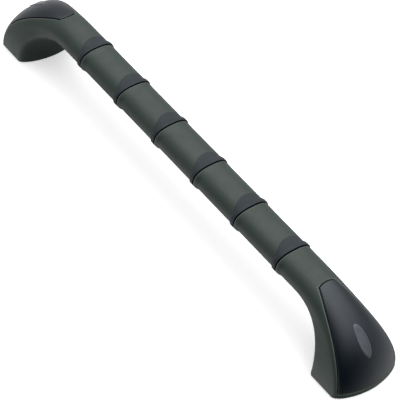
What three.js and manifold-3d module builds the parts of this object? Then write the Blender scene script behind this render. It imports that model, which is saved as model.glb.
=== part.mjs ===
// A grab rail for a wall or a cabin side: a flattened soft-touch grip on a metal core, ribbed by
// soft rings, with a flared foot at each end. A push-in cover on each foot hides the fixing screws.
// Units are millimetres. The wall is the plane z = 0, the rail runs along X, and +Z leaves the wall.
import * as THREE from 'three';
import Module from 'manifold-3d';
import { mergeVertices } from 'three/addons/utils/BufferGeometryUtils.js';

const wasm = await Module();
wasm.setup();

// Grip section: a flattened oval, fuller above its widest line than below it.
const GRIP_HALF_WIDTH = 17.5;
const GRIP_UPPER_DEPTH = 12.4;
const GRIP_LOWER_DEPTH = 9.8;
const GRIP_UPPER_EXPONENT = 2.54;
const GRIP_LOWER_EXPONENT = 1.86;
const AXIS_HEIGHT = 50.6;
const GRIP_WALL = 3;
const SECTION_POINTS = 26;
const FIT_GAP = 0.3;

// Soft rings, each ending in a groove that the next sleeve's lip faces.
const RING_COUNT = 6;
const RING_PITCH = 57.1;
const FIRST_GROOVE_X = -140.2;
const GROOVE_WIDTH = 0.9;
const RING_SIDE_LENGTH = 5.6;
const RING_TOP_LENGTH = 13.5;
const RING_PEAK_ANGLE = THREE.MathUtils.degToRad(82);
const RING_STEEP_SPREAD = THREE.MathUtils.degToRad(38);
const RING_SLOW_SPREAD = THREE.MathUtils.degToRad(58);
const RING_RISE = 1.1;
const LIP_LENGTH = 5.4;

// Metal core, and the plug and screw that hold each end of it in a foot.
const CORE_HALF_LENGTH = 182;
const CORE_WALL = 2;
const PLUG_LENGTH = 18;
const CORE_SCREW_RADIUS = 2;
const CORE_SCREW_HEAD_RADIUS = 4;
const CORE_SCREW_HEAD_HEIGHT = 2.4;
const CORE_SCREW_SEAT_X = 188;
const SCREW_AXIS_HEIGHT = AXIS_HEIGHT + (GRIP_UPPER_DEPTH - GRIP_LOWER_DEPTH) / 2;
const COUNTERBORE_RADIUS = 5;

// Foot: a loft from the grip section to a D-shaped base, between two side-view curves (x, z).
const GRIP_TOP = AXIS_HEIGHT + GRIP_UPPER_DEPTH;
const GRIP_UNDERSIDE = AXIS_HEIGHT - GRIP_LOWER_DEPTH;
const LOFT_START_X = 169.4;
const BASE_INNER_X = 208.5;
const BASE_OUTER_X = 257.9;
const BASE_FLANK_START_X = 220.1;
const BASE_FLANK_END_X = 245.4;
const BASE_HALF_WIDTH = 33.1;
const OUTER_PROFILE = [[LOFT_START_X, GRIP_TOP], [226, GRIP_TOP], [259.4, 34.1], [BASE_OUTER_X, 0]];
const INNER_PROFILE = [
  [LOFT_START_X, GRIP_UNDERSIDE], [182, GRIP_UNDERSIDE], [212.3, 34.3], [BASE_INNER_X, 0],
];
const BASE_EXPONENT = 1.76;
const WIDTH_POWER = 1.26;
const FLANK_POWER = 0.9;
const LOFT_STEPS = 13;

// Hollow of the foot, and what lies on its floor and under its base.
const FOOT_WALL = 5;
const POCKET_START = 0.26;
const POCKET_FLOOR_Z = 6;
const PLATE_THICKNESS = 2;
const PLATE_INSET = 7.5;
const GASKET_THICKNESS = 1.2;
const GASKET_RECESS = 1.5;
const GASKET_INSET = 2.6;
const FIXING_HOLES = [[228.5, -13.5], [228.5, 13.5], [246, 0]];
const FIXING_HOLE_RADIUS = 2.75;

// Cover: a panel of the foot's own surface, between two stations of the loft.
const COVER_START = 0.125;
const COVER_END = 0.94;
const COVER_TIP_ANGLE = THREE.MathUtils.degToRad(69);
const COVER_BASE_ANGLE = THREE.MathUtils.degToRad(23);
const COVER_TAPER = 3.5;
const COVER_THICKNESS = 2.4;
const COVER_GAP = 0.4;
const LEDGE_WIDTH = 3;
const COVER_STEPS = 9;
const COVER_COLUMNS = 8;
const TAB_SIZE = [1.8, 9, 9];
const TAB_STATIONS = [0.33, 0.68];
const TAB_START_DEPTH = 1.2;

const GREEN = { color: 0x4a5249, roughness: 0.5, metalness: 0 };
const BLACK_RUBBER = { color: 0x24262a, roughness: 0.62, metalness: 0 };
const BLACK_PLASTIC = { color: 0x212328, roughness: 0.4, metalness: 0 };
const GREY_PLASTIC = { color: 0x55585a, roughness: 0.6, metalness: 0 };
const ALUMINIUM = { color: 0xb4b7ba, roughness: 0.35, metalness: 1 };
const ZINC_STEEL = { color: 0xa9adb2, roughness: 0.3, metalness: 1 };
const FOAM = { color: 0x2b2b2b, roughness: 0.9, metalness: 0 };

const rail = new THREE.Group();

function addMesh(parent, name, geometry, finish) {
  const mesh = new THREE.Mesh(geometry, new THREE.MeshStandardMaterial(finish));
  mesh.name = name;
  parent.add(mesh);
  return mesh;
}

function toSolid(geometry) {
  const bare = geometry.clone();
  bare.deleteAttribute('normal');
  bare.deleteAttribute('uv');
  const merged = mergeVertices(bare, 1e-4);
  const vertProperties = new Float32Array(merged.attributes.position.array);
  const triVerts = new Uint32Array(merged.index.array);
  return new wasm.Manifold(new wasm.Mesh({ numProp: 3, vertProperties, triVerts }));
}

function toGeometry(solid) {
  const mesh = solid.getMesh();
  return indexedGeometry(Array.from(mesh.vertProperties), Array.from(mesh.triVerts));
}

function indexedGeometry(coordinates, triangles) {
  const geometry = new THREE.BufferGeometry();
  geometry.setAttribute('position', new THREE.Float32BufferAttribute(coordinates, 3));
  geometry.setIndex(triangles);
  geometry.computeVertexNormals();
  return geometry;
}

// The section's sample angles start half a step in, so that both flanks stay straight.
function sampleAngles(count = SECTION_POINTS) {
  return Array.from({ length: count }, (_, i) => ((i + 0.5) * 2 * Math.PI) / count);
}

function signedPower(value, exponent) {
  return Math.sign(value) * Math.abs(value) ** (2 / exponent);
}

function gripPoint(x, angle, offset) {
  const upper = Math.sin(angle) >= 0;
  const exponent = upper ? GRIP_UPPER_EXPONENT : GRIP_LOWER_EXPONENT;
  const depth = upper ? GRIP_UPPER_DEPTH : GRIP_LOWER_DEPTH;
  const y = (GRIP_HALF_WIDTH + offset) * signedPower(Math.cos(angle), exponent);
  const z = (depth + offset) * signedPower(Math.sin(angle), exponent);
  return new THREE.Vector3(x, y, AXIS_HEIGHT + z);
}

function bandTriangles(loopCount, pointCount, closed) {
  const triangles = [];
  const bands = closed ? loopCount : loopCount - 1;
  for (let i = 0; i < bands; i += 1) {
    const next = (i + 1) % loopCount;
    for (let j = 0; j < pointCount; j += 1) {
      const k = (j + 1) % pointCount;
      const [a, b] = [i * pointCount + j, i * pointCount + k];
      const [c, d] = [next * pointCount + k, next * pointCount + j];
      triangles.push(a, b, c, a, c, d);
    }
  }
  return triangles;
}

// A skin over loops of points, closed by a fan at each end.
function loftGeometry(loops) {
  const count = loops[0].length;
  const points = loops.flat();
  const triangles = bandTriangles(loops.length, count, false);
  const ends = [loops[0], loops[loops.length - 1]];
  const centres = ends.map((loop) => {
    const sum = loop.reduce((total, point) => total.add(point), new THREE.Vector3());
    return sum.divideScalar(count);
  });
  const first = points.length;
  const lastLoop = (loops.length - 1) * count;
  for (let j = 0; j < count; j += 1) {
    const k = (j + 1) % count;
    triangles.push(first, k, j);
    triangles.push(first + 1, lastLoop + j, lastLoop + k);
  }
  points.push(...centres);
  return indexedGeometry(points.flatMap((point) => point.toArray()), triangles);
}

// A skin whose last loop joins its first, for a piece with a hole right through it.
function ringGeometry(loops) {
  const points = loops.flat();
  const triangles = bandTriangles(loops.length, loops[0].length, true);
  return indexedGeometry(points.flatMap((point) => point.toArray()), triangles);
}

// A sleeve round the core: its profile is a list of [x at an angle, offset from the grip section].
function sleeveGeometry(profile) {
  const angles = sampleAngles();
  const loops = profile.map(([xAt, offset]) => {
    return angles.map((angle) => gripPoint(xAt(angle), angle, offset));
  });
  return ringGeometry(loops);
}

// A ring is longest over the top of the grip, and narrows faster towards -Y than towards +Y.
function ringLength(angle) {
  const fromPeak = angle - RING_PEAK_ANGLE;
  const turn = Math.atan2(Math.sin(fromPeak), Math.cos(fromPeak));
  const spread = turn > 0 ? RING_STEEP_SPREAD : RING_SLOW_SPREAD;
  const bell = Math.exp(-((turn / spread) ** 2));
  return RING_SIDE_LENGTH + (RING_TOP_LENGTH - RING_SIDE_LENGTH) * bell;
}

function grooveX(index) {
  return FIRST_GROOVE_X + RING_PITCH * index;
}

// The lip that rises beside a groove: [distance from the groove's far wall, offset].
const LIP = [
  [0, 0.75 * RING_RISE], [0.5, RING_RISE], [2.4, 0.85 * RING_RISE], [4.2, 0.3 * RING_RISE],
  [LIP_LENGTH, 0],
];

function gripRing(groove) {
  const start = (angle) => groove - ringLength(angle);
  const part = (share) => (angle) => groove - ringLength(angle) * (1 - share);
  const end = () => groove;
  return sleeveGeometry([
    [start, 0], [part(0.45), 0.5 * RING_RISE], [part(0.88), RING_RISE], [end, 0.8 * RING_RISE],
    [end, -GRIP_WALL], [start, -GRIP_WALL],
  ]);
}

function gripSleeve(startX, nextGroove) {
  const end = (angle) => nextGroove - ringLength(angle) - FIT_GAP;
  const lip = LIP.map(([distance, offset]) => [() => startX + distance, offset]);
  return sleeveGeometry([...lip, [end, 0], [end, -GRIP_WALL], [() => startX, -GRIP_WALL]]);
}

function coreTube() {
  const outer = -GRIP_WALL - FIT_GAP;
  const inner = outer - CORE_WALL;
  const [left, right] = [() => -CORE_HALF_LENGTH, () => CORE_HALF_LENGTH];
  return sleeveGeometry([[left, outer], [right, outer], [right, inner], [left, inner]]);
}

function bezier(points, t) {
  const s = 1 - t;
  const weights = [s ** 3, 3 * s * s * t, 3 * s * t * t, t ** 3];
  return [0, 1].map((axis) => weights.reduce((sum, weight, i) => sum + weight * points[i][axis], 0));
}

// A point on the foot: t runs from the grip to the base, and the angle runs round the section.
function footPoint(t, angle, inset = 0) {
  const [outerX, outerZ] = bezier(OUTER_PROFILE, t);
  const [innerX, innerZ] = bezier(INNER_PROFILE, t);
  const depth = Math.hypot(outerX - innerX, outerZ - innerZ);
  const blend = t * t * (3 - 2 * t);
  const baseDepth = BASE_OUTER_X - BASE_INNER_X;
  const baseFlank = BASE_FLANK_END_X - BASE_FLANK_START_X;
  const baseInnerShare = (BASE_FLANK_START_X - BASE_INNER_X) / (baseDepth - baseFlank);
  const halfWidth = GRIP_HALF_WIDTH + (BASE_HALF_WIDTH - GRIP_HALF_WIDTH) * blend ** WIDTH_POWER;
  const gripExponent = Math.sin(angle) >= 0 ? GRIP_UPPER_EXPONENT : GRIP_LOWER_EXPONENT;
  const exponent = gripExponent + (BASE_EXPONENT - gripExponent) * blend;
  const gripInnerShare = GRIP_LOWER_DEPTH / (GRIP_UPPER_DEPTH + GRIP_LOWER_DEPTH);
  const flankShare = (baseFlank / baseDepth) * blend ** FLANK_POWER;
  const innerShare = gripInnerShare + (baseInnerShare - gripInnerShare) * blend;
  const run = depth - 2 * inset;
  const innerEnd = run * (1 - flankShare) * innerShare;
  const outerEnd = run * (1 - flankShare) * (1 - innerShare);
  const rise = signedPower(Math.sin(angle), exponent);
  const along = rise >= 0 ? innerEnd + run * flankShare + outerEnd * rise : innerEnd * (1 + rise);
  const share = (inset + along) / depth;
  const y = (halfWidth - inset) * signedPower(Math.cos(angle), exponent);
  return new THREE.Vector3(innerX + (outerX - innerX) * share, y, innerZ + (outerZ - innerZ) * share);
}

function footNormal(t, angle) {
  const step = 1e-3;
  const round = footPoint(t, angle + step).sub(footPoint(t, angle - step));
  const down = footPoint(t + step, angle).sub(footPoint(t - step, angle));
  return round.cross(down).normalize();
}

function footLoop(t, inset = 0) {
  return sampleAngles().map((angle) => footPoint(t, angle, inset));
}

// The cover's panel of the foot surface, grown by a margin, between two depths below the surface.
function coverAngle(t) {
  const share = (COVER_END - t) / (COVER_END - COVER_START);
  const rise = Math.max(share, 0) ** COVER_TAPER;
  return COVER_BASE_ANGLE + (COVER_TIP_ANGLE - COVER_BASE_ANGLE) * rise;
}

function panelGeometry(margin, topDepth, bottomDepth) {
  const step = 1e-3;
  const middle = Math.PI / 2;
  const runAt = (t) => footPoint(t + step, middle).distanceTo(footPoint(t - step, middle)) / (2 * step);
  const start = COVER_START - margin / runAt(COVER_START);
  const end = COVER_END + margin / runAt(COVER_END);
  const points = [];
  for (const depth of [topDepth, bottomDepth]) {
    for (let i = 0; i <= COVER_STEPS; i += 1) {
      const t = start + ((end - start) * i) / COVER_STEPS;
      const edge = coverAngle(t);
      const speed = footPoint(t, edge + step).distanceTo(footPoint(t, edge - step)) / (2 * step);
      const edgeAngle = edge - margin / speed;
      for (let j = 0; j <= COVER_COLUMNS; j += 1) {
        const angle = edgeAngle + ((Math.PI - 2 * edgeAngle) * j) / COVER_COLUMNS;
        points.push(footPoint(t, angle).addScaledVector(footNormal(t, angle), -depth));
      }
    }
  }
  return slabGeometry(points, COVER_STEPS + 1, COVER_COLUMNS + 1);
}

// Two grids of points, top then bottom, closed round their edges.
function slabGeometry(points, rows, columns) {
  const triangles = [];
  const layer = rows * columns;
  const quad = (a, b, c, d) => triangles.push(a, b, c, a, c, d);
  for (let i = 0; i < rows - 1; i += 1) {
    for (let j = 0; j < columns - 1; j += 1) {
      const a = i * columns + j;
      quad(a, a + 1, a + columns + 1, a + columns);
      quad(layer + a, layer + a + columns, layer + a + columns + 1, layer + a + 1);
    }
  }
  const edge = [];
  for (let j = 0; j < columns - 1; j += 1) edge.push(j);
  for (let i = 0; i < rows - 1; i += 1) edge.push(i * columns + columns - 1);
  for (let j = columns - 1; j > 0; j -= 1) edge.push((rows - 1) * columns + j);
  for (let i = rows - 1; i > 0; i -= 1) edge.push(i * columns);
  edge.forEach((a, index) => {
    const b = edge[(index + 1) % edge.length];
    quad(a, layer + a, layer + b, b);
  });
  return indexedGeometry(points.flatMap((point) => point.toArray()), triangles);
}

function cylinderAlongX(radius, startX, endX, y, z) {
  const geometry = new THREE.CylinderGeometry(radius, radius, endX - startX, 20);
  geometry.rotateZ(Math.PI / 2);
  geometry.translate((startX + endX) / 2, y, z);
  return geometry;
}

function cylinderAlongZ(radius, startZ, endZ, x, y) {
  const geometry = new THREE.CylinderGeometry(radius, radius, endZ - startZ, 20);
  geometry.rotateX(Math.PI / 2);
  geometry.translate(x, y, (startZ + endZ) / 2);
  return geometry;
}

function baseOutline(inset) {
  return footLoop(1, inset).map((point) => new THREE.Vector2(point.x, point.y));
}

function baseDisc(inset, bottomZ, thickness) {
  const shape = new THREE.Shape(baseOutline(inset));
  const geometry = new THREE.ExtrudeGeometry(shape, { depth: thickness, bevelEnabled: false });
  geometry.translate(0, 0, bottomZ);
  return toSolid(geometry);
}

// A plate of the base's outline with the fixing holes through it.
function drilledPlate(inset, bottomZ, thickness) {
  let solid = baseDisc(inset, bottomZ, thickness);
  for (const [x, y] of FIXING_HOLES) {
    const hole = cylinderAlongZ(FIXING_HOLE_RADIUS, bottomZ - 1, bottomZ + thickness + 1, x, y);
    solid = solid.subtract(toSolid(hole));
  }
  return toGeometry(solid);
}

// The hollow under the cover, down to a flat floor.
function pocketSolid() {
  const loops = [];
  for (let i = 0; i <= LOFT_STEPS; i += 1) {
    loops.push(footLoop(POCKET_START + ((1 - POCKET_START) * i) / LOFT_STEPS, FOOT_WALL));
  }
  const above = new THREE.BoxGeometry(200, 200, 200);
  above.translate(BASE_INNER_X, 0, 100 + POCKET_FLOOR_Z);
  return toSolid(loftGeometry(loops)).intersect(toSolid(above));
}

function footGeometry(jointX, lip) {
  const angles = sampleAngles();
  const loops = [];
  const coreInset = -GRIP_WALL - 1;
  loops.push(angles.map((angle) => gripPoint(jointX(angle), angle, coreInset)));
  for (const [distance, offset] of lip) {
    loops.push(angles.map((angle) => gripPoint(jointX(angle) + distance, angle, offset)));
  }
  for (let i = 0; i <= LOFT_STEPS; i += 1) {
    loops.push(footLoop(i / LOFT_STEPS));
  }
  const socketEnds = [jointX(0) - 20, CORE_HALF_LENGTH + FIT_GAP];
  const socketLoops = socketEnds.map((x) => angles.map((angle) => gripPoint(x, angle, -GRIP_WALL)));
  const socket = loftGeometry(socketLoops);
  const seatX = CORE_SCREW_SEAT_X;
  const seat = cylinderAlongX(COUNTERBORE_RADIUS, seatX, seatX + 20, 0, SCREW_AXIS_HEIGHT);
  const passage = CORE_SCREW_RADIUS + FIT_GAP;
  const bore = cylinderAlongX(passage, CORE_HALF_LENGTH - 2, seatX + 1, 0, SCREW_AXIS_HEIGHT);
  const cuts = [socket, seat, bore];
  cuts.push(panelGeometry(COVER_GAP, -4, COVER_THICKNESS + COVER_GAP));
  cuts.push(panelGeometry(-LEDGE_WIDTH, -1, FOOT_WALL + 2));
  for (const [x, y] of FIXING_HOLES) {
    cuts.push(cylinderAlongZ(FIXING_HOLE_RADIUS, -1, POCKET_FLOOR_Z + 1, x, y));
  }
  const gasketRecess = baseDisc(GASKET_INSET - FIT_GAP, -1, GASKET_RECESS + 1);
  let solid = toSolid(loftGeometry(loops)).subtract(pocketSolid()).subtract(gasketRecess);
  for (const cut of cuts) {
    solid = solid.subtract(toSolid(cut));
  }
  return toGeometry(solid);
}

// The cover lifts off along a line halfway between the rail's axis and the wall's normal.
function coverGeometry() {
  let solid = toSolid(panelGeometry(0, 0, COVER_THICKNESS));
  for (const station of TAB_STATIONS) {
    const tab = new THREE.BoxGeometry(...TAB_SIZE);
    tab.translate(0, 0, -TAB_SIZE[2] / 2 - TAB_START_DEPTH);
    tab.rotateY(Math.PI / 4);
    const root = footPoint(station, Math.PI / 2);
    tab.translate(root.x, root.y, root.z);
    solid = solid.add(toSolid(tab));
  }
  return toGeometry(solid);
}

function corePlug() {
  const angles = sampleAngles();
  const fit = -GRIP_WALL - 2 * FIT_GAP - CORE_WALL;
  const ends = [CORE_HALF_LENGTH - PLUG_LENGTH, CORE_HALF_LENGTH];
  const loops = ends.map((x) => angles.map((angle) => gripPoint(x, angle, fit)));
  const body = toSolid(loftGeometry(loops));
  const passage = CORE_SCREW_RADIUS + FIT_GAP;
  const bore = cylinderAlongX(passage, ends[0] - 1, ends[1] + 1, 0, SCREW_AXIS_HEIGHT);
  return toGeometry(body.subtract(toSolid(bore)));
}

// A pan-head screw along X, with a cross recess in its head.
function coreScrew() {
  const shank = CORE_SCREW_SEAT_X + FIT_GAP - (CORE_HALF_LENGTH - PLUG_LENGTH + 2);
  const head = CORE_SCREW_HEAD_HEIGHT;
  const profile = [
    [0, 0], [CORE_SCREW_RADIUS * 0.4, 0], [CORE_SCREW_RADIUS, 2.5], [CORE_SCREW_RADIUS, shank],
    [CORE_SCREW_HEAD_RADIUS, shank], [CORE_SCREW_HEAD_RADIUS, shank + head * 0.5],
    [CORE_SCREW_HEAD_RADIUS * 0.75, shank + head], [0, shank + head],
  ].map(([radius, along]) => new THREE.Vector2(radius, along));
  let solid = toSolid(new THREE.LatheGeometry(profile, 20));
  for (const size of [[3.6, 0.9], [0.9, 3.6]]) {
    const slot = new THREE.BoxGeometry(size[0], 2.4, size[1]);
    slot.translate(0, shank + head, 0);
    solid = solid.subtract(toSolid(slot));
  }
  const geometry = toGeometry(solid);
  geometry.rotateZ(-Math.PI / 2);
  geometry.translate(CORE_SCREW_SEAT_X + FIT_GAP - shank, 0, SCREW_AXIS_HEIGHT);
  return geometry;
}

addMesh(rail, 'core_tube', coreTube(), ALUMINIUM);

for (let i = 0; i < RING_COUNT; i += 1) {
  addMesh(rail, `grip_ring_${i + 1}`, gripRing(grooveX(i)), BLACK_RUBBER);
}
for (let i = 0; i < RING_COUNT - 1; i += 1) {
  const startX = grooveX(i) + GROOVE_WIDTH;
  addMesh(rail, `grip_sleeve_${i + 1}`, gripSleeve(startX, grooveX(i + 1)), GREEN);
}

// The right foot starts with a lip beside the last groove, and the left foot runs into the first
// ring. Both are built at the +X end, and the left one is turned half a turn about Z.
const rightJoint = () => grooveX(RING_COUNT - 1) + GROOVE_WIDTH;
const leftJoint = (angle) => ringLength(Math.PI - angle) + FIT_GAP - FIRST_GROOVE_X;
const ENDS = [
  { side: 'right', turn: 0, jointX: rightJoint, lip: LIP },
  { side: 'left', turn: Math.PI, jointX: leftJoint, lip: [[0, 0]] },
];

for (const { side, turn, jointX, lip } of ENDS) {
  const end = new THREE.Group();
  end.rotation.z = turn;
  rail.add(end);
  addMesh(end, `end_foot_${side}`, footGeometry(jointX, lip), GREEN);
  addMesh(end, `screw_cover_${side}`, coverGeometry(), BLACK_PLASTIC);
  const plateZ = POCKET_FLOOR_Z + FIT_GAP;
  const plate = drilledPlate(PLATE_INSET, plateZ, PLATE_THICKNESS);
  addMesh(end, `load_plate_${side}`, plate, ZINC_STEEL);
  const gasket = drilledPlate(GASKET_INSET, 0, GASKET_THICKNESS);
  addMesh(end, `base_gasket_${side}`, gasket, FOAM);
  addMesh(end, `core_plug_${side}`, corePlug(), GREY_PLASTIC);
  addMesh(end, `core_screw_${side}`, coreScrew(), ZINC_STEEL);
}

export default rail;
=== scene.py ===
"""Looks of a grab rail: smooth soft-touch grip, soft raised rings, flared feet and push-in screw covers."""
import math

import bmesh
import bpy
import numpy as np
from mathutils import Euler, Matrix, Vector


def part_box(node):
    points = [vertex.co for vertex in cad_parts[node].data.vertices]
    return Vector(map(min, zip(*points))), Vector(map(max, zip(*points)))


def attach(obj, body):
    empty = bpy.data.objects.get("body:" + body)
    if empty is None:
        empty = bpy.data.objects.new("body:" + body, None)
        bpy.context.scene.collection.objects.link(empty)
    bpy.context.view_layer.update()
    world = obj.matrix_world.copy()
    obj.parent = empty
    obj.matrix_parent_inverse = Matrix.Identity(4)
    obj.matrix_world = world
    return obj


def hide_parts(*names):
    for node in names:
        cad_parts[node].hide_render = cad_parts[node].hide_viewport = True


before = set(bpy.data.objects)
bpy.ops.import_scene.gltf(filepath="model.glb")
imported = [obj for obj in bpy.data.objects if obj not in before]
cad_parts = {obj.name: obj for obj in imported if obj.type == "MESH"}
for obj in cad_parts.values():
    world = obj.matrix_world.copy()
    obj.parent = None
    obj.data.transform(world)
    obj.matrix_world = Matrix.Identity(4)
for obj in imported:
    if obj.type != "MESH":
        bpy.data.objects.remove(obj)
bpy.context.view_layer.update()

# Lengths below are millimetres, in the frame of the rail: X along it, Z out of the wall.
MM = 0.001
TAU = 2 * math.pi

# Grip section.
GRIP_HALF_WIDTH = 17.5
GRIP_UPPER_DEPTH = 12.4
GRIP_LOWER_DEPTH = 9.8
GRIP_UPPER_EXPONENT = 2.54
GRIP_LOWER_EXPONENT = 1.86
GRIP_WALL = 3.0
GRIP_COLUMNS = 128
AXIS_HEIGHT = 50.6
GRIP_TOP_Z = AXIS_HEIGHT + GRIP_UPPER_DEPTH
GRIP_UNDERSIDE_Z = AXIS_HEIGHT - GRIP_LOWER_DEPTH

# Soft rings and the lips beside them.
RING_COUNT = 6
RING_SIDE_LENGTH = 5.6
RING_TOP_LENGTH = 13.5
RING_PEAK_ANGLE = math.radians(82)
RING_STEEP_SPREAD = math.radians(38)
RING_SLOW_SPREAD = math.radians(58)
RING_SLOPE_LENGTH = 8.0
RING_CREST = 1.2
RING_FLANK_CREST = 3.4
RING_RISE = 1.25
TOP_RISE_SHARE = 0.6
LIP_CREST = 1.4
LIP_LENGTH = 6.4
SEAM = 0.05
GROOVE_WIDTH = 1.3
GROOVE_FLOOR = -2.6

# Foot: a loft from the grip to a D-shaped base, between two side-view curves (x, z).
CORE_END_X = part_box("core_tube")[1].x / MM
LOFT_START_X = 169.4
BASE_OUTER_X = 257.9
BASE_INNER_X = 208.5
BASE_FLANK_START_X = 220.1
BASE_FLANK_END_X = 245.4
BASE_HALF_WIDTH = 33.1
OUTER_PROFILE = ((LOFT_START_X, GRIP_TOP_Z), (226.0, GRIP_TOP_Z), (259.4, 34.1), (BASE_OUTER_X, 0.0))
INNER_PROFILE = (
    (LOFT_START_X, GRIP_UNDERSIDE_Z), (182.0, GRIP_UNDERSIDE_Z), (212.3, 34.3), (BASE_INNER_X, 0.0),
)
BASE_EXPONENT = 1.76
WIDTH_POWER = 1.26
FLANK_POWER = 0.9
BASE_EDGE = 0.8

# Cover panel and the recess it lies in.
COVER_START = 0.125
COVER_END = 0.94
COVER_TIP_ANGLE = math.radians(69)
COVER_BASE_ANGLE = math.radians(23)
COVER_TAPER = 3.5
COVER_THICKNESS = 2.4
COVER_GAP = 0.75
COVER_EDGE = 0.45
RIM_EDGE = 1.1
TIP_BOW = 0.0125
TIP_BOW_SPREAD = 0.035
TIP_SHIFTS = {"right": (-0.0085, -0.085), "left": (0.017, 0.085)}
TIP_SHIFT_SPREAD = 0.12
RECESS_DEPTH = COVER_THICKNESS + 0.4
LEDGE_WIDTH = 3.0
TAB_STATIONS = (0.33, 0.68)
TAB_SIZE = (1.8, 9.0, 9.0)

# Hollow of the foot.
FOOT_WALL = 5.0
POCKET_START = 0.26
POCKET_FLOOR_Z = 6.0
FIXING_HOLES = ((228.5, -13.5), (228.5, 13.5), (246.0, 0.0))
FIXING_HOLE_RADIUS = 2.75
GASKET_RECESS = 1.5
GASKET_INSET = 2.3
SCREW_AXIS_HEIGHT = AXIS_HEIGHT + (GRIP_UPPER_DEPTH - GRIP_LOWER_DEPTH) / 2
SCREW_SEAT_RADIUS = 5.0
SCREW_SEAT_SPAN = (188, 206)
SCREW_BORE_RADIUS = 2.3
SCREW_BORE_SPAN = (180, 190)
SOCKET_START_X = 100
SOCKET_CLEARANCE = 0.3

# Plain raised oval on each cover, on its centre line.
BADGE_CENTRE_T = 0.54
BADGE_HALF_LENGTH = 15.0
BADGE_HALF_WIDTH = 6.4
BADGE_RISE = 0.6

# Small step in t or angle, for slopes.
STEP = 1e-3


def power(value, exponent):
    return np.sign(value) * np.abs(value) ** (2 / exponent)


def smooth(share):
    share = np.clip(share, 0, 1)
    return share * share * (3 - 2 * share)


def bezier(points, t):
    weights = ((1 - t) ** 3, 3 * (1 - t) ** 2 * t, 3 * (1 - t) * t**2, t**3)
    return tuple(sum(w * p[axis] for w, p in zip(weights, points)) for axis in (0, 1))


def grip_points(x, angle, offset):
    """Points on the grip section grown by an offset. The arguments are numbers or arrays."""
    x, angle, offset = np.broadcast_arrays(x, angle, offset)
    upper = np.sin(angle) >= 0
    exponent = np.where(upper, GRIP_UPPER_EXPONENT, GRIP_LOWER_EXPONENT)
    y = (GRIP_HALF_WIDTH + offset) * power(np.cos(angle), exponent)
    z = (np.where(upper, GRIP_UPPER_DEPTH, GRIP_LOWER_DEPTH) + offset) * power(np.sin(angle), exponent)
    return np.stack([x, y, AXIS_HEIGHT + z], -1)


def foot_points(t, angle, inset=0.0):
    """Points on the foot: t runs from the grip to the base, the angle round the section."""
    t, angle = np.broadcast_arrays(np.asarray(t, float), np.asarray(angle, float))
    outer_x, outer_z = bezier(OUTER_PROFILE, t)
    inner_x, inner_z = bezier(INNER_PROFILE, t)
    depth = np.hypot(outer_x - inner_x, outer_z - inner_z)
    turn = smooth(t)
    base_depth = BASE_OUTER_X - BASE_INNER_X
    base_flank = BASE_FLANK_END_X - BASE_FLANK_START_X
    base_inner_share = (BASE_FLANK_START_X - BASE_INNER_X) / (base_depth - base_flank)
    half_width = GRIP_HALF_WIDTH + (BASE_HALF_WIDTH - GRIP_HALF_WIDTH) * turn**WIDTH_POWER
    grip_exponent = np.where(np.sin(angle) >= 0, GRIP_UPPER_EXPONENT, GRIP_LOWER_EXPONENT)
    exponent = grip_exponent + (BASE_EXPONENT - grip_exponent) * turn
    flank = (base_flank / base_depth) * turn**FLANK_POWER
    grip_inner_share = GRIP_LOWER_DEPTH / (GRIP_UPPER_DEPTH + GRIP_LOWER_DEPTH)
    inner_share = grip_inner_share + (base_inner_share - grip_inner_share) * turn
    run = depth - 2 * inset
    inner_end = run * (1 - flank) * inner_share
    outer_end = run * (1 - flank) * (1 - inner_share)
    rise = power(np.sin(angle), exponent)
    along = np.where(rise >= 0, inner_end + run * flank + outer_end * rise, inner_end * (1 + rise))
    share = (inset + along) / depth
    y = (half_width - inset) * power(np.cos(angle), exponent)
    return np.stack([inner_x + (outer_x - inner_x) * share, y, inner_z + (outer_z - inner_z) * share], -1)


def foot_normals(t, angle):
    round_it = foot_points(t, angle + STEP) - foot_points(t, angle - STEP)
    along_it = foot_points(t + STEP, angle) - foot_points(t - STEP, angle)
    normal = np.cross(round_it, along_it)
    return normal / np.linalg.norm(normal, axis=-1, keepdims=True)


def speed_round(t, angle):
    """Millimetres moved over the foot for each radian of angle."""
    return np.linalg.norm(foot_points(t, angle + STEP) - foot_points(t, angle - STEP), axis=-1) / (2 * STEP)


def speed_along(t, angle):
    """Millimetres moved over the foot for each unit of t."""
    return np.linalg.norm(foot_points(t + STEP, angle) - foot_points(t - STEP, angle), axis=-1) / (2 * STEP)


def ring_length(angle):
    """Length of a ring at an angle: longest over the top, and narrowing faster towards -Y."""
    turn = np.arctan2(np.sin(angle - RING_PEAK_ANGLE), np.cos(angle - RING_PEAK_ANGLE))
    bell = np.exp(-((turn / np.where(turn > 0, RING_STEEP_SPREAD, RING_SLOW_SPREAD)) ** 2))
    return RING_SIDE_LENGTH + (RING_TOP_LENGTH - RING_SIDE_LENGTH) * bell


def ring_rise(angle):
    """The rings stand prouder on the flanks than over the top."""
    return RING_RISE * (1 - (1 - TOP_RISE_SHARE) * np.maximum(np.sin(angle), 0) ** 2)


def lip_rise(angle):
    """The lips stand proudest on the -Y flank and fade towards +Y."""
    return 0.95 * ring_rise(angle) * (0.55 - 0.45 * np.cos(angle))


def cover_edge_angle(t, margin):
    """The angle at which the cover's side edge lies at t, grown outwards by a margin."""
    share = np.clip((COVER_END - t) / (COVER_END - COVER_START), 0, 1)
    edge = COVER_BASE_ANGLE + (COVER_TIP_ANGLE - COVER_BASE_ANGLE) * share**COVER_TAPER
    return edge - margin / speed_round(t, edge)


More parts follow.
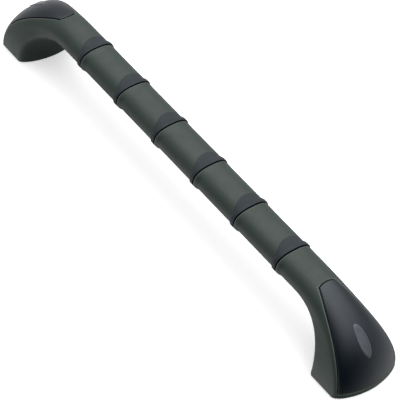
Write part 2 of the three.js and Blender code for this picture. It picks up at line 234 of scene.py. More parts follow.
def shape_tip(side, t, angle):
    """Moves stations and angles so that the cover's tip and the rim round it bow and lean a little."""
    edge = cover_edge_angle(t, 0.0)
    across = np.clip((angle - math.pi / 2) / (math.pi / 2 - edge), -1, 1)
    bow = TIP_BOW * (1 - across**2) * np.exp(-(((t - COVER_START) / TIP_BOW_SPREAD) ** 2))
    shift, lean = TIP_SHIFTS[side]
    near_tip = np.maximum(np.sin(angle), 0) * np.exp(-(((t - COVER_START) / TIP_SHIFT_SPREAD) ** 2))
    return t - bow + shift * near_tip, angle + lean * near_tip


def cover_span(margin):
    """The two stations between which the cover lies, grown outwards by a margin."""
    middle = math.pi / 2
    start = COVER_START - margin / speed_along(COVER_START, middle)
    end = COVER_END + margin / speed_along(COVER_END, middle)
    return start, end


def cover_grid(side, margin, depth, rows, columns):
    """A grid of points over the cover's panel, grown by a margin, at a depth below the surface."""
    start, end = cover_span(margin)
    t = np.linspace(start, end, rows)[:, None]
    edge = cover_edge_angle(t, margin)
    angle = edge + (math.pi - 2 * edge) * np.linspace(0, 1, columns)[None, :]
    t, angle = shape_tip(side, t, angle)
    return foot_points(t, angle) - depth * foot_normals(t, angle)


def perimeter(rows, columns):
    """Indices round a grid, against the clock seen from outside."""
    tip = [(0, j) for j in range(columns - 1)]
    right = [(i, columns - 1) for i in range(rows - 1)]
    base = [(rows - 1, j) for j in range(columns - 1, 0, -1)]
    left = [(i, 0) for i in range(rows - 1, 0, -1)]
    return tip + right + base + left


class Skin:
    """Collects points in millimetres and faces, and makes one closed mesh object in metres."""

    def __init__(self):
        self.points = []
        self.faces = []
        self.count = 0
        # Faces marked for a flat colour of painted light: edge highlight on the green, groove shade on the
        # rubber.
        self.painted_light = set()

    def add(self, points):
        points = np.asarray(points, float).reshape(-1, 3)
        start = self.count
        self.points.append(points)
        self.count += len(points)
        return np.arange(start, self.count)

    def band(self, first, second, painted_light=False):
        """Quads between two closed loops of one length, which may be marked to take the material's painted
        light colour.
        """
        if painted_light:
            self.painted_light.update(range(len(self.faces), len(self.faces) + len(first)))
        for a, b, c, d in zip(first, np.roll(first, -1), np.roll(second, -1), second):
            self.faces.append((a, b, c, d))

    def sheet(self, grid, flip=False):
        for row, below in zip(grid[:-1], grid[1:]):
            for j in range(len(row) - 1):
                quad = (row[j], row[j + 1], below[j + 1], below[j])
                self.faces.append(quad[::-1] if flip else quad)

    def cap(self, loop, flip=False):
        loop = list(loop)
        self.faces.append(tuple(loop[::-1] if flip else loop))

    def make(self, name):
        corners = np.concatenate([np.asarray(face) for face in self.faces])
        used, flat = np.unique(corners, return_inverse=True)
        ends = np.cumsum([len(face) for face in self.faces])[:-1]
        points = np.concatenate(self.points)[used] * MM
        mesh = bpy.data.meshes.new(name)
        mesh.from_pydata(points.tolist(), [], [face.tolist() for face in np.split(flat, ends)])
        # The painted-light marks ride on the material index until finish_mesh.
        marks = [int(number in self.painted_light) for number in range(len(self.faces))]
        mesh.polygons.foreach_set("material_index", marks)
        mesh.update()
        piece = bpy.data.objects.new(name, mesh)
        bpy.context.scene.collection.objects.link(piece)
        return piece


def finish_mesh(piece, material, sharp_angle=38):
    """Gives a piece its material, its painted-light marks as an attribute, and smooth shading."""
    mesh = piece.data
    marks = np.zeros(len(mesh.polygons), np.int32)
    mesh.polygons.foreach_get("material_index", marks)
    painted_light = mesh.attributes.new("painted_light", "FLOAT", "FACE")
    painted_light.data.foreach_set("value", marks.astype(np.float32))
    mesh.polygons.foreach_set("material_index", np.zeros_like(marks))
    mesh.materials.clear()
    mesh.materials.append(material)
    mesh.shade_smooth()
    mesh.set_sharp_from_angle(angle=math.radians(sharp_angle))
    return piece


def lathe_round_grip(name, profile, painted_light=(), columns=GRIP_COLUMNS):
    """A hollow piece round the grip, from a closed list of (x, offset) pairs of functions of the angle."""
    angles = (np.arange(columns) + 0.5) * TAU / columns
    skin = Skin()
    loops = [skin.add(grip_points(x(angles), angles, offset(angles))) for x, offset in profile]
    for number, (first, second) in enumerate(zip(loops, loops[1:] + loops[:1])):
        skin.band(first, second, number in painted_light)
    return skin.make(name)


def cut(piece, *cutters):
    """Cuts closed meshes out of a piece, and removes them."""
    for cutter in cutters:
        modifier = piece.modifiers.new("cut", "BOOLEAN")
        modifier.operation = "DIFFERENCE"
        modifier.solver = "MANIFOLD"
        modifier.object = cutter
    graph = bpy.context.evaluated_depsgraph_get()
    mesh = bpy.data.meshes.new_from_object(piece.evaluated_get(graph))
    piece.modifiers.clear()
    old = piece.data
    piece.data = mesh
    bpy.data.meshes.remove(old)
    for cutter in cutters:
        bpy.data.objects.remove(cutter)
    return piece


# ---------------------------------------------------------------- materials


def new_material(name):
    material = bpy.data.materials.new(name)
    material.use_nodes = True
    tree = material.node_tree
    shader = tree.nodes["Principled BSDF"]
    return material, tree, shader


def noise(tree, scale, detail=3.0, roughness=0.55):
    coordinates = tree.nodes.get("coordinates")
    if coordinates is None:
        coordinates = tree.nodes.new("ShaderNodeTexCoord")
        coordinates.name = "coordinates"
    node = tree.nodes.new("ShaderNodeTexNoise")
    node.inputs["Scale"].default_value = scale
    node.inputs["Detail"].default_value = detail
    node.inputs["Roughness"].default_value = roughness
    tree.links.new(coordinates.outputs["Object"], node.inputs["Vector"])
    return node


def ramp(tree, source, low, high, low_value, high_value):
    """A value that goes from low_value to high_value as the source goes from low to high."""
    node = tree.nodes.new("ShaderNodeMapRange")
    node.inputs["From Min"].default_value = low
    node.inputs["From Max"].default_value = high
    node.inputs["To Min"].default_value = low_value
    node.inputs["To Max"].default_value = high_value
    tree.links.new(source, node.inputs["Value"])
    return node.outputs["Result"]


def mixed_colour(tree, source, first, second):
    node = tree.nodes.new("ShaderNodeMix")
    node.data_type = "RGBA"
    node.inputs["A"].default_value = (*first, 1)
    node.inputs["B"].default_value = (*second, 1)
    tree.links.new(source, node.inputs["Factor"])
    return node.outputs["Result"]


def add_bumps(tree, shader, layers):
    """Stacks bump layers, each (height socket, strength, distance in metres)."""
    last = None
    for height, strength, distance in layers:
        node = tree.nodes.new("ShaderNodeBump")
        node.inputs["Strength"].default_value = strength
        node.inputs["Distance"].default_value = distance
        tree.links.new(height, node.inputs["Height"])
        if last is not None:
            tree.links.new(last, node.inputs["Normal"])
        last = node.outputs["Normal"]
    tree.links.new(last, shader.inputs["Normal"])


def multiplied(tree, first, second):
    node = tree.nodes.new("ShaderNodeMix")
    node.data_type = "RGBA"
    node.blend_type = "MULTIPLY"
    node.inputs["Factor"].default_value = 1.0
    tree.links.new(first, node.inputs["A"])
    tree.links.new(second, node.inputs["B"])
    return node.outputs["Result"]


def with_painted_light(tree, shade, painted_light):
    """A flat colour of painted light on the faces that carry its mark, and the material's own colour
    elsewhere.
    """
    mark = tree.nodes.new("ShaderNodeAttribute")
    mark.attribute_name = "painted_light"
    edge = tree.nodes.new("ShaderNodeMix")
    edge.data_type = "RGBA"
    tree.links.new(mark.outputs["Fac"], edge.inputs["Factor"])
    tree.links.new(shade, edge.inputs["A"])
    edge.inputs["B"].default_value = (*painted_light, 1)
    return edge.outputs["Result"]


def moulded(name, colours, finish, grain, specular=0.5, tint=(1, 1, 1), painted_light=None):
    """A moulded plastic or rubber: a fine grain, and faint cloudy changes of colour and gloss.

    The colours are its darkest and lightest, the finish is its roughness and how much that
    varies, and the grain is its scale and its depth in metres. Faces marked for painted light take the
    painted_light colour instead.
    """
    dark, light = colours
    roughness, spread = finish
    grain_scale, grain_depth = grain
    material, tree, shader = new_material(name)
    cloud = noise(tree, 38, 4.0, 0.6)
    speckle = noise(tree, 1500, 2.0)
    shade = mixed_colour(tree, ramp(tree, cloud.outputs["Fac"], 0.35, 0.65, 0, 1), dark, light)
    flecks = mixed_colour(tree, ramp(tree, speckle.outputs["Fac"], 0.3, 0.7, 0, 1), (0.9,) * 3, (1.06,) * 3)
    shade = multiplied(tree, shade, flecks)
    # Painted light on the marked faces: a lighter edge highlight on the green, near-black groove shade on
    # the rubber.
    if painted_light is not None:
        shade = with_painted_light(tree, shade, painted_light)
    tree.links.new(shade, shader.inputs["Base Color"])
    gloss = noise(tree, 120, 3.0)
    rough = ramp(tree, gloss.outputs["Fac"], 0.3, 0.7, roughness - spread, roughness + spread)
    tree.links.new(rough, shader.inputs["Roughness"])
    shader.inputs["Specular IOR Level"].default_value = specular
    shader.inputs["Specular Tint"].default_value = (*tint, 1)
    fine = noise(tree, grain_scale, 2.0, 0.6)
    swell = noise(tree, 90, 2.0)
    add_bumps(tree, shader, ((fine.outputs["Fac"], 0.5, grain_depth), (swell.outputs["Fac"], 0.2, 0.00012)))
    return material


def metal(name, colour, roughness, brushed_along=None):
    """A bare metal with fine streaks, drawn out along one axis where it is brushed."""
    material, tree, shader = new_material(name)
    shader.inputs["Metallic"].default_value = 1.0
    coordinates = tree.nodes.new("ShaderNodeTexCoord")
    coordinates.name = "coordinates"
    stretch = tree.nodes.new("ShaderNodeMapping")
    scale = [600.0, 600.0, 600.0]
    if brushed_along is not None:
        scale[brushed_along] = 12.0
    stretch.inputs["Scale"].default_value = scale
    tree.links.new(coordinates.outputs["Object"], stretch.inputs["Vector"])
    streaks = tree.nodes.new("ShaderNodeTexNoise")
    streaks.inputs["Scale"].default_value = 4.0
    streaks.inputs["Detail"].default_value = 3.0
    tree.links.new(stretch.outputs["Vector"], streaks.inputs["Vector"])
    fac = streaks.outputs["Fac"]
    darker = tuple(0.8 * c for c in colour)
    shade = mixed_colour(tree, ramp(tree, fac, 0.3, 0.7, 0, 1), darker, colour)
    tree.links.new(shade, shader.inputs["Base Color"])
    rough = ramp(tree, fac, 0.3, 0.7, roughness - 0.08, roughness + 0.08)
    tree.links.new(rough, shader.inputs["Roughness"])
    add_bumps(tree, shader, ((fac, 0.25, 0.00004),))
    return material


COOL = (0.9, 0.96, 1.0)
# Painted highlight: a lighter green on the lips' and foot rims' rounded edges, standing in for a thin
# glint.
PAINTED_EDGE_HIGHLIGHT = (0.085, 0.105, 0.095)
# Painted shade: near black on each groove's wall and floor, darkening the gap beside the ring.
PAINTED_GROOVE_SHADE = (0.001, 0.001, 0.002)

GREEN = moulded(
    "body_green", ((0.0226, 0.0378, 0.0305), (0.0273, 0.0428, 0.0362)), (0.46, 0.04), (2600, 0.00005),
    specular=0.4, painted_light=PAINTED_EDGE_HIGHLIGHT,
)
RUBBER = moulded(
    "ring_rubber", ((0.021, 0.027, 0.032), (0.026, 0.032, 0.038)), (0.54, 0.05), (2000, 0.00006),
    specular=0.28, tint=COOL, painted_light=PAINTED_GROOVE_SHADE,
)
COVER = moulded(
    "cover_black", ((0.002, 0.0050, 0.0088), (0.003, 0.0070, 0.0125)), (0.31, 0.03), (2900, 0.00003),
    tint=COOL,
)
BADGE = moulded(
    "badge_grey", ((0.066, 0.071, 0.083), (0.084, 0.090, 0.106)), (0.3, 0.03), (2600, 0.00003),
    tint=COOL,
)
NYLON = moulded(
    "plug_plastic", ((0.09, 0.093, 0.096), (0.11, 0.113, 0.117)), (0.55, 0.05), (1800, 0.00005),
)
FOAM = moulded(
    "gasket_foam", ((0.008, 0.008, 0.008), (0.015, 0.015, 0.015)), (0.85, 0.08), (900, 0.0003),
    specular=0.2,
)
ALUMINIUM = metal("core_aluminium", (0.62, 0.63, 0.65), 0.34, brushed_along=0)
ZINC = metal("zinc_steel", (0.60, 0.62, 0.66), 0.3)


# ---------------------------------------------------------------- grip


def lip_offset(distance):
    """Height of the lip above the grip, as a share of its rise, at a distance from the groove."""
    return 1 - smooth((distance - LIP_CREST) / (LIP_LENGTH - LIP_CREST))


def lip_profile():
    """The lip's (distance, share of rise, offset) points, from the groove's wall out to the grip."""
    edge = [(0.0, 0.0, -GRIP_WALL), (0.0, 0.0, -1.0), (0.0, 0.0, -0.2), (0.0, 1.0, -0.4)]
    for turn in (30, 60):
        a = math.radians(turn)
        edge.append((0.4 * (1 - math.cos(a)), 1.0, 0.4 * math.sin(a) - 0.4))
    distances = [0.4, 0.8, 1.5, *np.linspace(LIP_CREST, LIP_LENGTH, 12)]
    return edge + [(d, float(lip_offset(d)), 0.0) for d in distances]


# The bands of the lip's profile that make its rounded edge; they carry the painted highlight.
LIP_HIGHLIGHT_BANDS = (3, 4, 5, 6)


def lip_height(share, offset):
    return lambda a: lip_rise(a) * share + offset


def make_sleeve(index):
    """A green sleeve from a groove to the boundary of the next ring."""
    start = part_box(f"grip_ring_{index}")[1].x / MM + GROOVE_WIDTH
    next_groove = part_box(f"grip_ring_{index + 1}")[1].x / MM
    profile = [(lambda a, d=d: start + d + 0 * a, lip_height(share, o)) for d, share, o in lip_profile()]

    def along(share):
        def x(a):
            first = start + LIP_LENGTH
            return first + (next_groove - ring_length(a) - SEAM - first) * share
        return x

    for share in np.linspace(0.08, 1.0, 14):
        profile.append((along(share), lambda a: 0 * a))
    profile.append((along(1.0), lambda a: 0 * a - GRIP_WALL))
    # The lip's rounded edge carries the painted highlight.
    piece = lathe_round_grip(f"sleeve_{index}", profile, LIP_HIGHLIGHT_BANDS)
    finish_mesh(piece, GREEN)
    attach(piece, "rail")
    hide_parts(f"grip_sleeve_{index}")


def ring_offset(angle, share):
    """Height of a ring above the grip, at a share of its length from its far edge to the groove."""
    length = ring_length(angle)
    slope = np.minimum(length, RING_SLOPE_LENGTH)
    crest = RING_CREST + (RING_FLANK_CREST - RING_CREST) * np.cos(angle) ** 2
    to_groove = length * (1 - share)
    return ring_rise(angle) * smooth((slope - to_groove) / (slope - crest))


def make_ring(index):
    """A soft black ring, with the floor of the groove beside it; the groove's wall and floor carry painted
    shade.
    """
    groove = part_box(f"grip_ring_{index}")[1].x / MM

    def along(share):
        return lambda a: groove - ring_length(a) * (1 - share)

    def height(share):
        return lambda a: ring_offset(a, share)

    level = lambda value: (lambda a: value + 0 * a)
    profile = [(along(0.0), level(-GRIP_WALL)), (along(0.0), level(-0.02))]
    for share in np.linspace(0.03, 0.95, 20):
        profile.append((along(share), height(share)))
    for turn in (30, 60, 90):
        a = math.radians(turn)
        back, down = 0.35 * (1 - math.sin(a)), 0.35 * (1 - math.cos(a))
        profile.append((level(groove - back), lambda a, down=down: ring_rise(a) - down))
    profile.append((level(groove), level(GROOVE_FLOOR)))
    profile.append((level(groove + GROOVE_WIDTH - SEAM), level(GROOVE_FLOOR)))
    profile.append((level(groove + GROOVE_WIDTH - SEAM), level(-GRIP_WALL)))
    # The groove's wall and floor carry painted shade.
    groove_shade_bands = (len(profile) - 4, len(profile) - 3)
    piece = lathe_round_grip(f"ring_{index}", profile, groove_shade_bands)
    finish_mesh(piece, RUBBER)
    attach(piece, "rail")
    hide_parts(f"grip_ring_{index}")


# ---------------------------------------------------------------- feet


def solid_loft(name, loops):
    skin = Skin()
    indices = [skin.add(loop) for loop in loops]
    for first, second in zip(indices[:-1], indices[1:]):
        skin.band(first, second)
    skin.cap(indices[0], flip=True)
    skin.cap(indices[-1])
    return skin.make(name)


def grip_prism(name, start, end, offset):
    angles = (np.arange(64) + 0.5) * TAU / 64
    return solid_loft(name, [grip_points(x, angles, offset) for x in (start, end)])


def round_bar(name, radius, start, end, axis, centre, sides=48):
    """A cutter: a round bar along X or Z."""
    angles = np.arange(sides) * TAU / sides
    ring = np.stack([np.cos(angles) * radius, np.sin(angles) * radius], -1)
    loops = []
    for value in (start, end):
        column = np.full((sides, 1), float(value))
        if axis == "x":
            loops.append(np.hstack([column, ring + np.array(centre)]))
        else:
            loops.append(np.hstack([ring + np.array(centre), column]))
    return solid_loft(name, loops)


def base_prism(name, inset, low, high):
    angles = (np.arange(96) + 0.5) * TAU / 96
    outline = foot_points(1.0, angles, inset)[:, :2]
    return solid_loft(name, [np.hstack([outline, np.full((96, 1), z)]) for z in (high, low)])


def pocket_cutter(floor_z):
    """The hollow of the foot, flattened at its floor."""
    angles = (np.arange(72) + 0.5) * TAU / 72
    loops = []
    for t in np.linspace(POCKET_START, 1.0, 40):
        loop = foot_points(t, angles, FOOT_WALL)
        if loop[:, 2].min() < floor_z + 0.5:
            break
        loops.append(loop)
    floor = foot_points(0.985, angles, FOOT_WALL)
    floor[:, 2] = floor_z
    loops.append(floor)
    return solid_loft("pocket_cutter", loops)


def window_cutter(side):
    rows, columns = 40, 30
    skin = Skin()
    top = cover_grid(side, -LEDGE_WIDTH, RECESS_DEPTH - 1, rows, columns)
    bottom = cover_grid(side, -LEDGE_WIDTH, FOOT_WALL + 2, rows, columns)
    top_index = skin.add(top).reshape(rows, columns)
    bottom_index = skin.add(bottom).reshape(rows, columns)
    skin.sheet(top_index)
    skin.sheet(bottom_index, flip=True)
    edge = perimeter(rows, columns)
    skin.band([bottom_index[e] for e in edge], [top_index[e] for e in edge])
    return skin.make("window_cutter")


def foot_body(side, joint_x, joint_profile):
    """The foot's outer skin down into the cover's recess, as one closed mesh."""
    panel_columns, rest_columns, panel_rows = 40, 84, 84
    rim = COVER_GAP + RIM_EDGE
    start, end = cover_span(rim)
    neck_rows = [*np.linspace(0, start, 16)[:-1]]
    panel_t = np.linspace(start, end, panel_rows)
    base_rows = list(np.linspace(end, 1.0, 8)[1:])
    skin = Skin()

    def columns_at(t):
        edge = float(cover_edge_angle(np.clip(t, start, end), rim))
        over = edge + (math.pi - 2 * edge) * np.linspace(0, 1, panel_columns)
        under = np.linspace(math.pi - edge, TAU + edge, rest_columns + 2)[1:-1]
        return np.concatenate([over, under])

    joint_angles = columns_at(start)
    loops = []
    for distance, offset in joint_profile:
        x = joint_x(joint_angles) + distance
        loops.append(skin.add(grip_points(x, joint_angles, offset(joint_angles))))
    first_x = joint_x(joint_angles) + joint_profile[-1][0]
    for share in (0.3, 0.65):
        x = first_x + (LOFT_START_X - first_x) * share
        loops.append(skin.add(grip_points(x, joint_angles, 0)))
    for t in neck_rows:
        loops.append(skin.add(foot_points(*shape_tip(side, t, columns_at(t)))))
    for number, (first, second) in enumerate(zip(loops[:-1], loops[1:])):
        # On the right foot the lip's rounded edge carries the painted highlight too.
        skin.band(first, second, len(joint_profile) > 2 and number in LIP_HIGHLIGHT_BANDS)
    skin.cap(loops[0], flip=True)

    panel = [skin.add(foot_points(*shape_tip(side, t, columns_at(t)))) for t in panel_t]
    skin.band(loops[-1], panel[0])
    around = panel_columns + rest_columns
    for first, second in zip(panel[:-1], panel[1:]):
        for j in range(panel_columns - 1, around):
            k = (j + 1) % around
            skin.faces.append((first[j], first[k], second[k], second[j]))

    lower = [panel[-1]]
    for t in base_rows[:-1]:
        lower.append(skin.add(foot_points(t, columns_at(t))))
    base_angles = columns_at(1.0)
    for z, inset in ((BASE_EDGE, 0.0), (0.25 * BASE_EDGE, 0.12 * BASE_EDGE), (0.0, 0.4 * BASE_EDGE)):
        loop = foot_points(1.0, base_angles, inset)
        loop[:, 2] = z
        lower.append(skin.add(loop))
    for first, second in zip(lower[:-1], lower[1:]):
        skin.band(first, second)
    skin.cap(lower[-1])

    grid = np.array([row[:panel_columns] for row in panel])
    ring = perimeter(panel_rows, panel_columns)
    previous = [grid[e] for e in ring]
    turns = (0.4, 0.8, 1.2, math.pi / 2)
    steps = [(COVER_GAP + RIM_EDGE * (1 - math.sin(a)), RIM_EDGE * (1 - math.cos(a))) for a in turns]
    for margin, depth in steps:
        points = cover_grid(side, margin, depth, panel_rows, panel_columns)
        loop = skin.add([points[e] for e in ring])
        # The upper part of the rim's rounding, beside the cover's gap, carries the painted highlight.
        skin.band(previous, loop, depth < 0.4 * RIM_EDGE)
        previous = loop
    floor = cover_grid(side, COVER_GAP, RECESS_DEPTH, panel_rows, panel_columns)
    floor_index = skin.add(floor).reshape(panel_rows, panel_columns)
    skin.band(previous, [floor_index[e] for e in ring])
    skin.sheet(floor_index)
    return skin.make(f"foot_{side}")


def turn_round(piece):
    piece.data.transform(Matrix.Rotation(math.pi, 4, "Z"))
    return piece


def make_foot(side):
    right = side == "right"
    if right:
        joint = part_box(f"grip_ring_{RING_COUNT}")[1].x / MM + GROOVE_WIDTH
        joint_x = lambda a: joint + 0 * a
        profile = [(d, lip_height(share, o)) for d, share, o in lip_profile()]
    else:
        joint = -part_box("grip_ring_1")[1].x / MM
        joint_x = lambda a: joint + ring_length(math.pi - a) + SEAM
        profile = [(0.0, lip_height(0.0, o)) for o in (-GRIP_WALL, 0.0)]
    piece = foot_body(side, joint_x, profile)
    cutters = [
        grip_prism("socket_cutter", SOCKET_START_X, CORE_END_X + SOCKET_CLEARANCE, 0.02 - GRIP_WALL),
        round_bar("seat_cutter", SCREW_SEAT_RADIUS, *SCREW_SEAT_SPAN, "x", (0, SCREW_AXIS_HEIGHT)),
        round_bar("bore_cutter", SCREW_BORE_RADIUS, *SCREW_BORE_SPAN, "x", (0, SCREW_AXIS_HEIGHT)),
        pocket_cutter(POCKET_FLOOR_Z),
        window_cutter(side),
        base_prism("gasket_cutter", GASKET_INSET, -2, GASKET_RECESS),
    ]
    for x, y in FIXING_HOLES:
        cutters.append(round_bar("hole_cutter", FIXING_HOLE_RADIUS, -3, POCKET_FLOOR_Z + 2, "z", (x, y)))
    cut(piece, *cutters)
    if not right:
        turn_round(piece)
    finish_mesh(piece, GREEN, 32)
    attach(piece, "rail")
    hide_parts(f"end_foot_{side}")


def make_badge(side):
    """A plain oval boss on the cover: a shallow dish inside a rounded rim."""
    shares_out = (0.3, 0.5, 0.62, 0.7, 0.78, 0.86, 0.92, 0.97, 1.0, 1.0)
    shares_up = (0.25, 0.27, 0.4, 0.7, 0.95, 1.0, 0.85, 0.5, 0.05, -0.8)
    turns = np.arange(72) * TAU / 72
    middle = math.pi / 2
    per_t = speed_along(BADGE_CENTRE_T, middle)
    per_angle = speed_round(BADGE_CENTRE_T, middle)
    skin = Skin()
    loops = []
    for out, up in zip(shares_out, shares_up):
        t = BADGE_CENTRE_T + BADGE_HALF_LENGTH * out * np.cos(turns) / per_t
        angle = middle - BADGE_HALF_WIDTH * out * np.sin(turns) / per_angle
        loops.append(skin.add(foot_points(t, angle) + up * BADGE_RISE * foot_normals(t, angle)))
    for first, second in zip(loops[:-1], loops[1:]):
        skin.band(second, first)
    skin.cap(loops[0])
    skin.cap(loops[-1], flip=True)
    piece = skin.make(f"badge_{side}")
    if side == "left":
        turn_round(piece)
    finish_mesh(piece, BADGE)
    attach(piece, f"cover_{side}")


def make_cover(side):
    rows, columns = 110, 60
    skin = Skin()
    top = cover_grid(side, -COVER_EDGE, 0.0, rows, columns)
    top_index = skin.add(top).reshape(rows, columns)
    skin.sheet(top_index)
    ring = perimeter(rows, columns)
    previous = [top_index[e] for e in ring]
    steps = [(-0.45 * COVER_EDGE, 0.06), (-0.13 * COVER_EDGE, 0.2), (0.0, 0.5), (0.0, COVER_THICKNESS)]
    for margin, depth in steps:
        points = cover_grid(side, margin, depth, rows, columns)
        loop = skin.add([points[e] for e in ring])
        skin.band(loop, previous)
        previous = loop
    inner = cover_grid(side, 0.0, COVER_THICKNESS, rows, columns)
    inner_index = skin.add(inner[1:-1, 1:-1]).reshape(rows - 2, columns - 2)
    full = np.empty((rows, columns), int)
    full[1:-1, 1:-1] = inner_index
    for e, index in zip(ring, previous):
        full[e] = index
    skin.sheet(full, flip=True)
    piece = skin.make(f"cover_{side}")
    for station in TAB_STATIONS:
        add_tab(piece, station)
    if side == "left":
        turn_round(piece)
    finish_mesh(piece, COVER, 34)
    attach(piece, f"cover_{side}")
    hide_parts(f"screw_cover_{side}")


def add_tab(piece, station):
    """A snap tab: a bevelled blade that runs inwards along the cover's lift-off line."""
    blade = bmesh.new()
    bmesh.ops.create_cube(blade, size=1.0)
    bmesh.ops.scale(blade, vec=Vector(TAB_SIZE) * MM, verts=blade.verts)
    bmesh.ops.bevel(blade, geom=blade.edges[:], offset=0.35 * MM, segments=2, affect="EDGES", profile=0.5)
    bmesh.ops.translate(blade, vec=(0, 0, (-TAB_SIZE[2] / 2 - 1.2) * MM), verts=blade.verts)
    root = Vector(foot_points(station, math.pi / 2)) * MM
    place = Matrix.Translation(root) @ Matrix.Rotation(math.pi / 4, 4, "Y")
    bmesh.ops.transform(blade, matrix=place, verts=blade.verts)
    joined = bmesh.new()
    joined.from_mesh(piece.data)
    extra = bpy.data.meshes.new("tab")
    blade.to_mesh(extra)
    joined.from_mesh(extra)
    joined.to_mesh(piece.data)
    bpy.data.meshes.remove(extra)
    blade.free()
    joined.free()


# ---------------------------------------------------------------- hidden pieces


def dress_hidden():
    """Better materials for the metal, nylon and foam pieces that the frame already holds."""
    finishes = {"core_tube": ALUMINIUM}
    for side in ("left", "right"):
        finishes[f"load_plate_{side}"] = ZINC
        finishes[f"core_screw_{side}"] = ZINC
        finishes[f"core_plug_{side}"] = NYLON
        finishes[f"base_gasket_{side}"] = FOAM
    for node, material in finishes.items():
        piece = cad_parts[node]
        piece.data.materials.clear()
        piece.data.materials.append(material)


# ---------------------------------------------------------------- camera, floor and light

CAMERA_TILT = math.radians(30.27)
CAMERA_TURN = math.radians(31.69)
CAMERA_ROLL = math.radians(46.37)
CAMERA_DISTANCE = 1661.9
CAMERA_LENS = 174.74
CAMERA_SENSOR = 36.0
CAMERA_SLIDE_RIGHT = 9.88
CAMERA_SLIDE_DOWN = 40.86


def make_camera():
    """The photograph's view: tilted round the rail's axis, turned towards its right end, then rolled."""
    normal = np.array([0, -math.sin(CAMERA_TILT), math.cos(CAMERA_TILT)])
    along = np.array([1.0, 0, 0])
    back = math.cos(CAMERA_TURN) * normal + math.sin(CAMERA_TURN) * along
    right = math.cos(CAMERA_TURN) * along - math.sin(CAMERA_TURN) * normal
    down = np.array([0, math.cos(CAMERA_TILT), math.sin(CAMERA_TILT)])
    cos_roll, sin_roll = math.cos(CAMERA_ROLL), math.sin(CAMERA_ROLL)
    image_right = right * cos_roll + down * sin_roll
    image_down = right * sin_roll - down * cos_roll
    slide = image_right * CAMERA_SLIDE_RIGHT + image_down * CAMERA_SLIDE_DOWN
    place = np.array([0, 0, AXIS_HEIGHT]) + back * CAMERA_DISTANCE + slide
    data = bpy.data.cameras.new("camera")
    data.sensor_width = CAMERA_SENSOR
    data.lens = CAMERA_LENS
    data.clip_end = 20
    camera = bpy.data.objects.new("camera", data)
    turn = Matrix([image_right, -image_down, back]).transposed()
    camera.matrix_world = Matrix.Translation(Vector(place) * MM) @ turn.to_4x4()
    bpy.context.scene.collection.objects.link(camera)
    bpy.context.scene.camera = camera


def make_floor():
    material, tree, shader = new_material("floor")
    cloud = noise(tree, 2.0, 2.0)
    colour = mixed_colour(tree, cloud.outputs["Fac"], (0.86, 0.86, 0.86), (0.9, 0.9, 0.9))
    tree.links.new(colour, shader.inputs["Base Color"])
    shader.inputs["Roughness"].default_value = 0.9
    shader.inputs["Specular IOR Level"].default_value = 0.1
    shader.inputs["Emission Color"].default_value = (1, 1, 1, 1)
    shader.inputs["Emission Strength"].default_value = 0.45
    plane = bmesh.new()
    bmesh.ops.create_grid(plane, x_segments=8, y_segments=8, size=12.0)
    mesh = bpy.data.meshes.new("floor")
    plane.to_mesh(mesh)
    plane.free()
    mesh.materials.append(material)
    floor = bpy.data.objects.new("floor", mesh)
    floor.location.z = -0.0002
    floor.visible_glossy = False
    floor.visible_diffuse = False
    floor.visible_shadow = False
    bpy.context.scene.collection.objects.link(floor)


# A dim card under the floor, which keeps some of the light from below off the left foot's inner face.
FLAG_GLOW = 0.22
FLAG_LOW = (-0.207, -0.055)
FLAG_HIGH = (-0.10, 0.06)


def make_flag():
    material, _, shader = new_material("flag")
    shader.inputs["Base Color"].default_value = (0, 0, 0, 1)
    shader.inputs["Roughness"].default_value = 1.0
    shader.inputs["Specular IOR Level"].default_value = 0.0
    shader.inputs["Emission Color"].default_value = (1, 1, 1, 1)
    shader.inputs["Emission Strength"].default_value = FLAG_GLOW
    (x0, y0), (x1, y1) = FLAG_LOW, FLAG_HIGH
    mesh = bpy.data.meshes.new("flag")
    mesh.from_pydata([(x0, y0, 0), (x1, y0, 0), (x1, y1, 0), (x0, y1, 0)], [], [(0, 1, 2, 3)])
    mesh.materials.append(material)
    flag = bpy.data.objects.new("flag", mesh)
    flag.location.z = -0.003
    flag.visible_camera = False
    bpy.context.scene.collection.objects.link(flag)


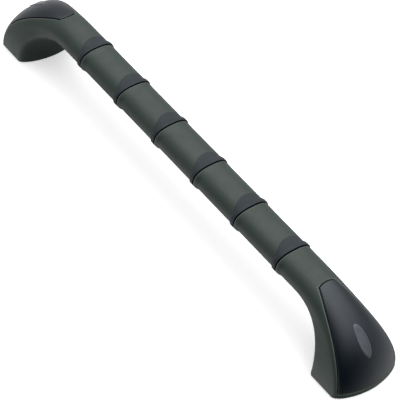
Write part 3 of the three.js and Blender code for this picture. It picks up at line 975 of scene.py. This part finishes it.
# The studio's broad soft lights. Each has the turn about Z and the height of its direction, in
# degrees, then how closely its glow gathers round that direction, then its strength.
STUDIO_LIGHTS = {
    "overhead": (45, 75, 5, 2.5),
    "key": (143, 55, 13, 2.8),
    "back_strip": (120, 10, 7, 0.7),
    "back_fill": (60, -15, 3, 1.05),
    "front_fill": (265, -40, 4.5, 1.4),
    "end_strip": (220, 30, 5, 0.6),
    "end_fill": (180, -25, 3.5, 0.85),
}


def make_light():
    """A light tent: a world that glows from a few broad directions, behind a plain white backdrop."""
    world = bpy.data.worlds.new("studio")
    world.use_nodes = True
    tree = world.node_tree
    direction = tree.nodes.new("ShaderNodeTexCoord").outputs["Generated"]

    def calculate(operation, first, second):
        node = tree.nodes.new("ShaderNodeMath")
        node.operation = operation
        for socket, value in zip(node.inputs, (first, second)):
            if isinstance(value, (int, float)):
                socket.default_value = value
            else:
                tree.links.new(value, socket)
        return node.outputs["Value"]

    total = 0.0
    for turn, height, gathering, strength in STUDIO_LIGHTS.values():
        towards = Euler((0, -math.radians(height), math.radians(turn))).to_matrix() @ Vector((1, 0, 0))
        facing = tree.nodes.new("ShaderNodeVectorMath")
        facing.operation = "DOT_PRODUCT"
        tree.links.new(direction, facing.inputs[0])
        facing.inputs[1].default_value = towards
        glow = calculate("POWER", calculate("MAXIMUM", facing.outputs["Value"], 0.0), gathering)
        total = calculate("ADD", total, calculate("MULTIPLY", glow, strength))
    seen = tree.nodes.new("ShaderNodeLightPath").outputs["Is Camera Ray"]
    unseen = calculate("SUBTRACT", 1.0, seen)
    total = calculate("ADD", calculate("MULTIPLY", total, unseen), seen)
    background = tree.nodes["Background"]
    background.inputs["Color"].default_value = (1, 1, 1, 1)
    tree.links.new(total, background.inputs["Strength"])
    bpy.context.scene.world = world
    bpy.context.scene.view_settings.view_transform = "Standard"


for number in range(1, RING_COUNT):
    make_sleeve(number)
for number in range(1, RING_COUNT + 1):
    make_ring(number)
for end_side in ("right", "left"):
    make_foot(end_side)
    make_cover(end_side)
    make_badge(end_side)
dress_hidden()
make_camera()
make_floor()
make_flag()
make_light()
